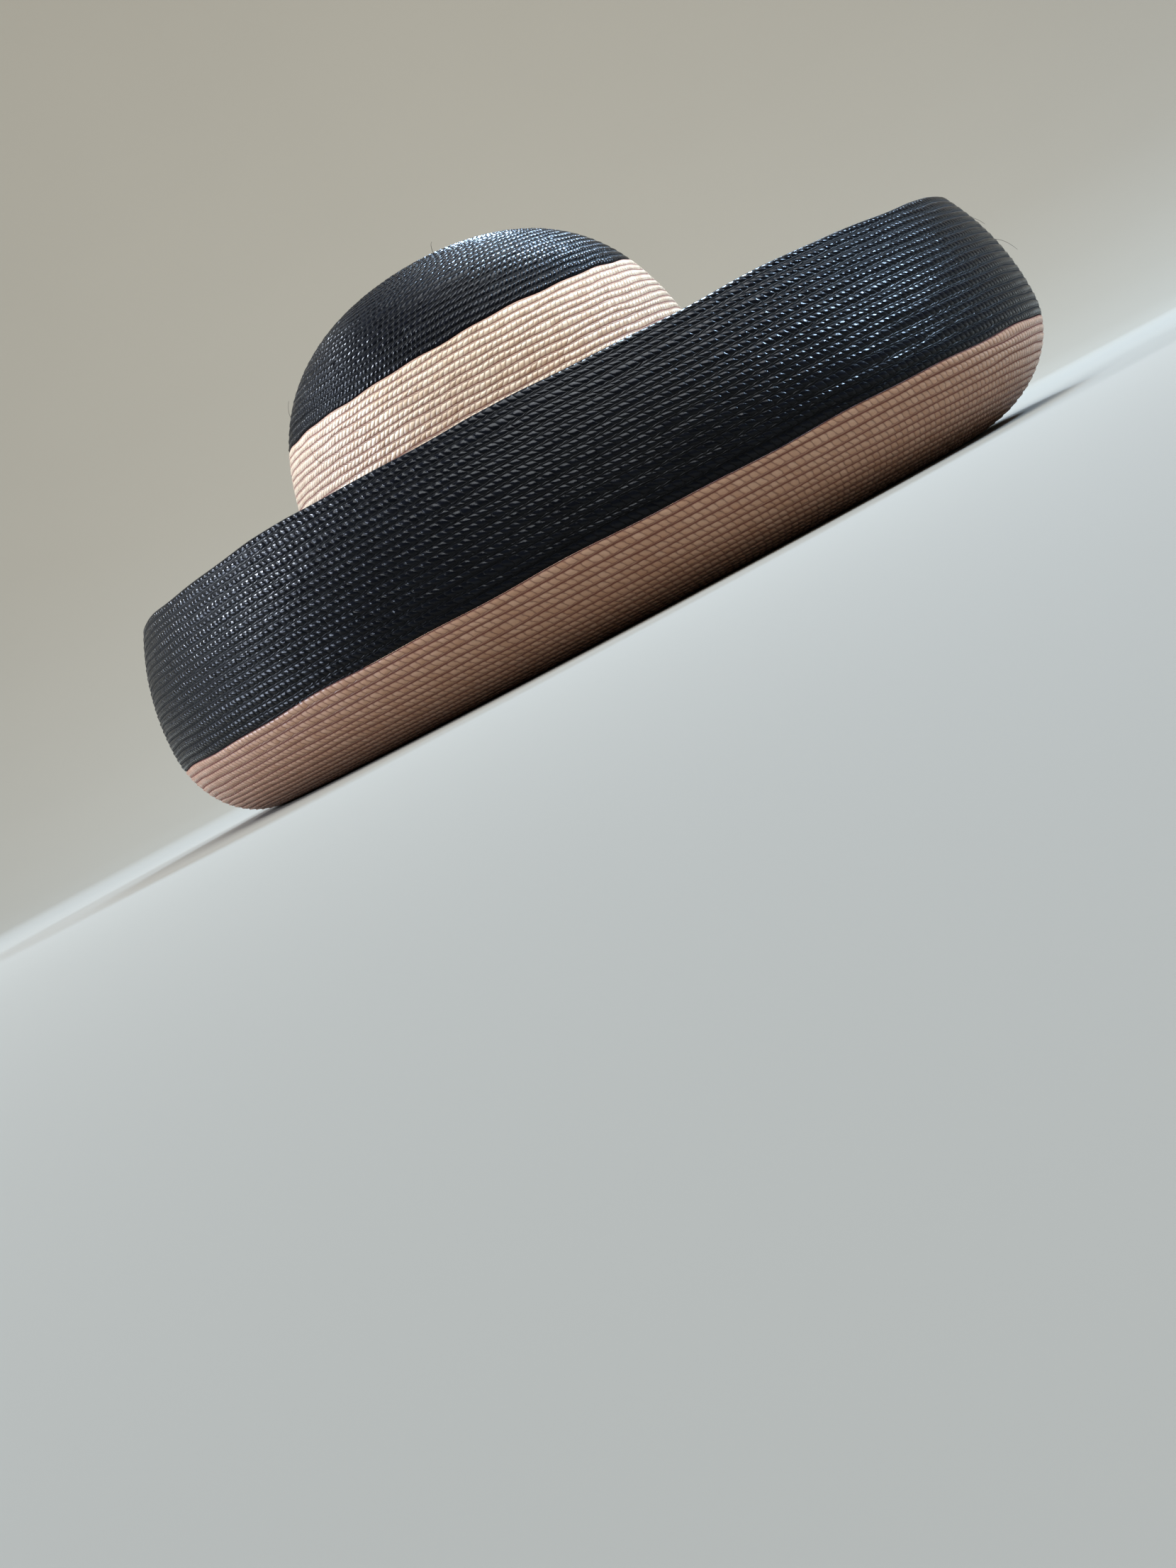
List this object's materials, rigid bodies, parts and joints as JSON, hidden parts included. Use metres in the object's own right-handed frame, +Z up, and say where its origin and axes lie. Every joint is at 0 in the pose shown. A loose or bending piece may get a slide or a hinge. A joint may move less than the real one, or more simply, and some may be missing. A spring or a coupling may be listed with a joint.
{
  "type": "wide-brim straw hat",
  "caption": "Hat of sewn straw braid with a round crown, a dark crown tip, and a deep brim rolled up all round to a dark border.",
  "frame": {"origin": "on the floor under the middle of the brim, level with the ring that the hat rests on", "axes": "+Z up, -Y the front of the hat, -X the wearer's right"},
  "size_m": [0.3686, 0.4046, 0.1709],
  "materials": {
    "black_straw": "glossy",
    "natural_straw": "satin",
    "black_ribbon": "matte"
  },
  "bodies": {
    "root": {"crown_tip": "black_straw", "crown_side": "natural_straw", "brim": "natural_straw", "brim_border": "black_straw", "sweatband": "black_ribbon"}
  },
  "joints": []
}
